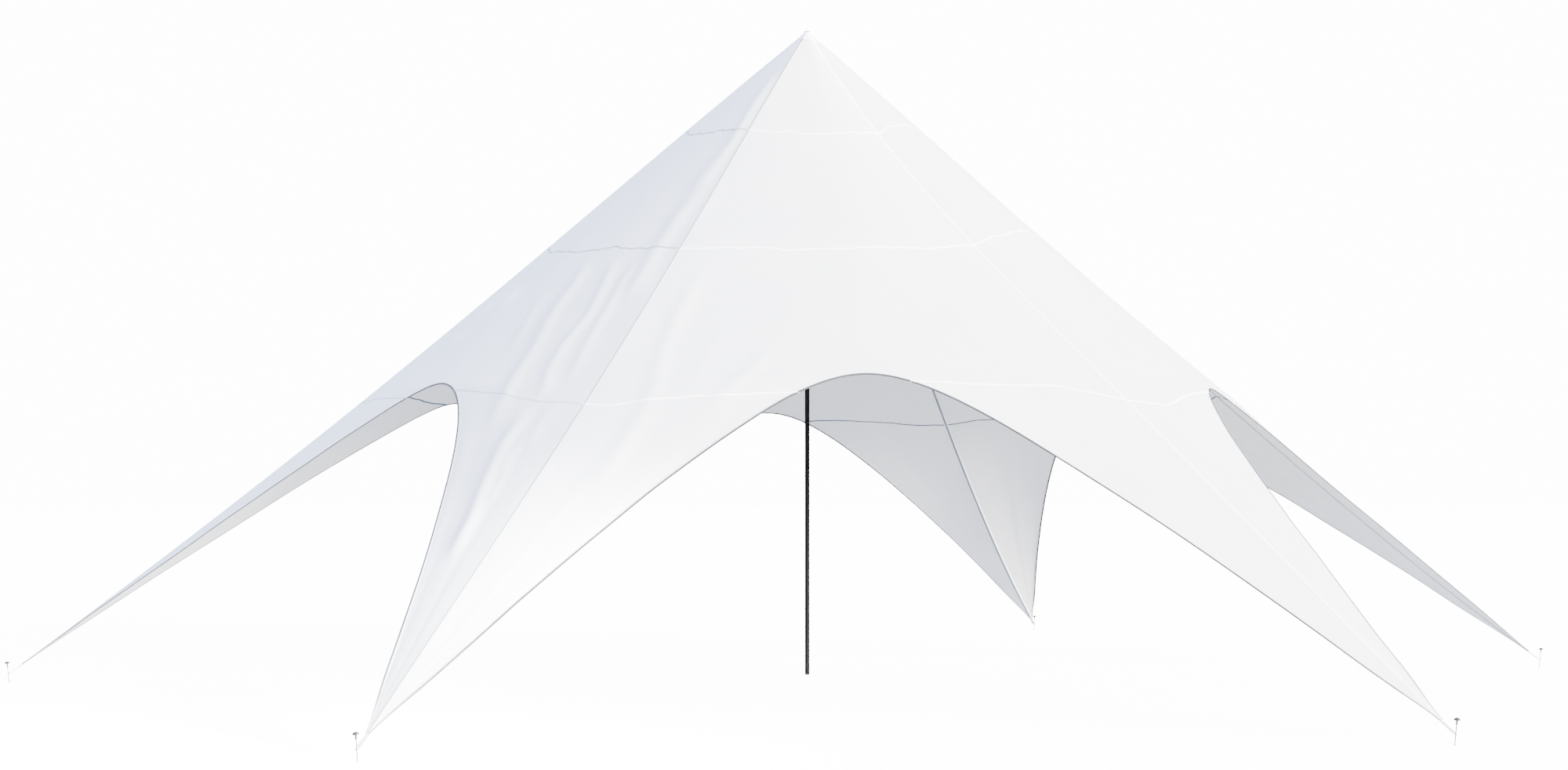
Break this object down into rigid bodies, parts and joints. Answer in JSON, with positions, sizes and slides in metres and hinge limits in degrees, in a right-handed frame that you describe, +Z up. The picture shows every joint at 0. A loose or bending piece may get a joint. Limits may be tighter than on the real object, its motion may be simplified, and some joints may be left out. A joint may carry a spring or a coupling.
{
  "type": "star tent",
  "caption": "Star-shaped white event tent on a central mast: ridged cloth gores with arched doorways between arms that are strapped down to ground stakes.",
  "frame": {"origin": "on the ground under the middle of the mast's foot", "axes": "+X out along the right-hand arm, +Z up along the mast; the arms lie 60 degrees apart"},
  "size_m": [14.065, 12.1866, 5.8503],
  "materials": {
    "canopy_cloth": "matt coated polyester cloth, plain weave",
    "hem_cloth": "cloth folded over a cord, stitched and bound in dark tape",
    "white_webbing": "flat woven band",
    "stake_steel": "plain zinc-coated rod",
    "black_plastic": "moulded, fine grain",
    "black_paint": "satin powder coat",
    "foot_rubber": "matt",
    "cap_plastic": "grey, matt"
  },
  "bodies": {
    "root": {"canopy_gore_front": "canopy_cloth", "canopy_gore_front_right": "canopy_cloth", "canopy_gore_back_right": "canopy_cloth", "canopy_gore_back": "canopy_cloth", "canopy_gore_back_left": "canopy_cloth", "canopy_gore_front_left": "canopy_cloth", "arch_hem_front": "hem_cloth", "arch_hem_front_right": "hem_cloth", "arch_hem_back_right": "hem_cloth", "arch_hem_back": "hem_cloth", "arch_hem_back_left": "hem_cloth", "arch_hem_front_left": "hem_cloth", "ridge_webbing_right": "white_webbing", "ridge_webbing_back_right": "white_webbing", "ridge_webbing_back_left": "white_webbing", "ridge_webbing_left": "white_webbing", "ridge_webbing_front_left": "white_webbing", "ridge_webbing_front_right": "white_webbing", "corner_strap_right": "white_webbing", "corner_strap_back_right": "white_webbing", "corner_strap_back_left": "white_webbing", "corner_strap_left": "white_webbing", "corner_strap_front_left": "white_webbing", "corner_strap_front_right": "white_webbing", "stake_shaft_right": "stake_steel", "stake_shaft_back_right": "stake_steel", "stake_shaft_back_left": "stake_steel", "stake_shaft_left": "stake_steel", "stake_shaft_front_left": "stake_steel", "stake_shaft_front_right": "stake_steel", "stake_head_right": "black_plastic", "stake_head_back_right": "black_plastic", "stake_head_back_left": "black_plastic", "stake_head_left": "black_plastic", "stake_head_front_left": "black_plastic", "stake_head_front_right": "black_plastic", "mast_lower_tube": "black_paint", "mast_middle_tube": "black_paint", "mast_upper_tube": "black_paint", "mast_foot": "foot_rubber", "mast_cap": "cap_plastic", "apex_collar": "white_webbing"}
  },
  "joints": []
}
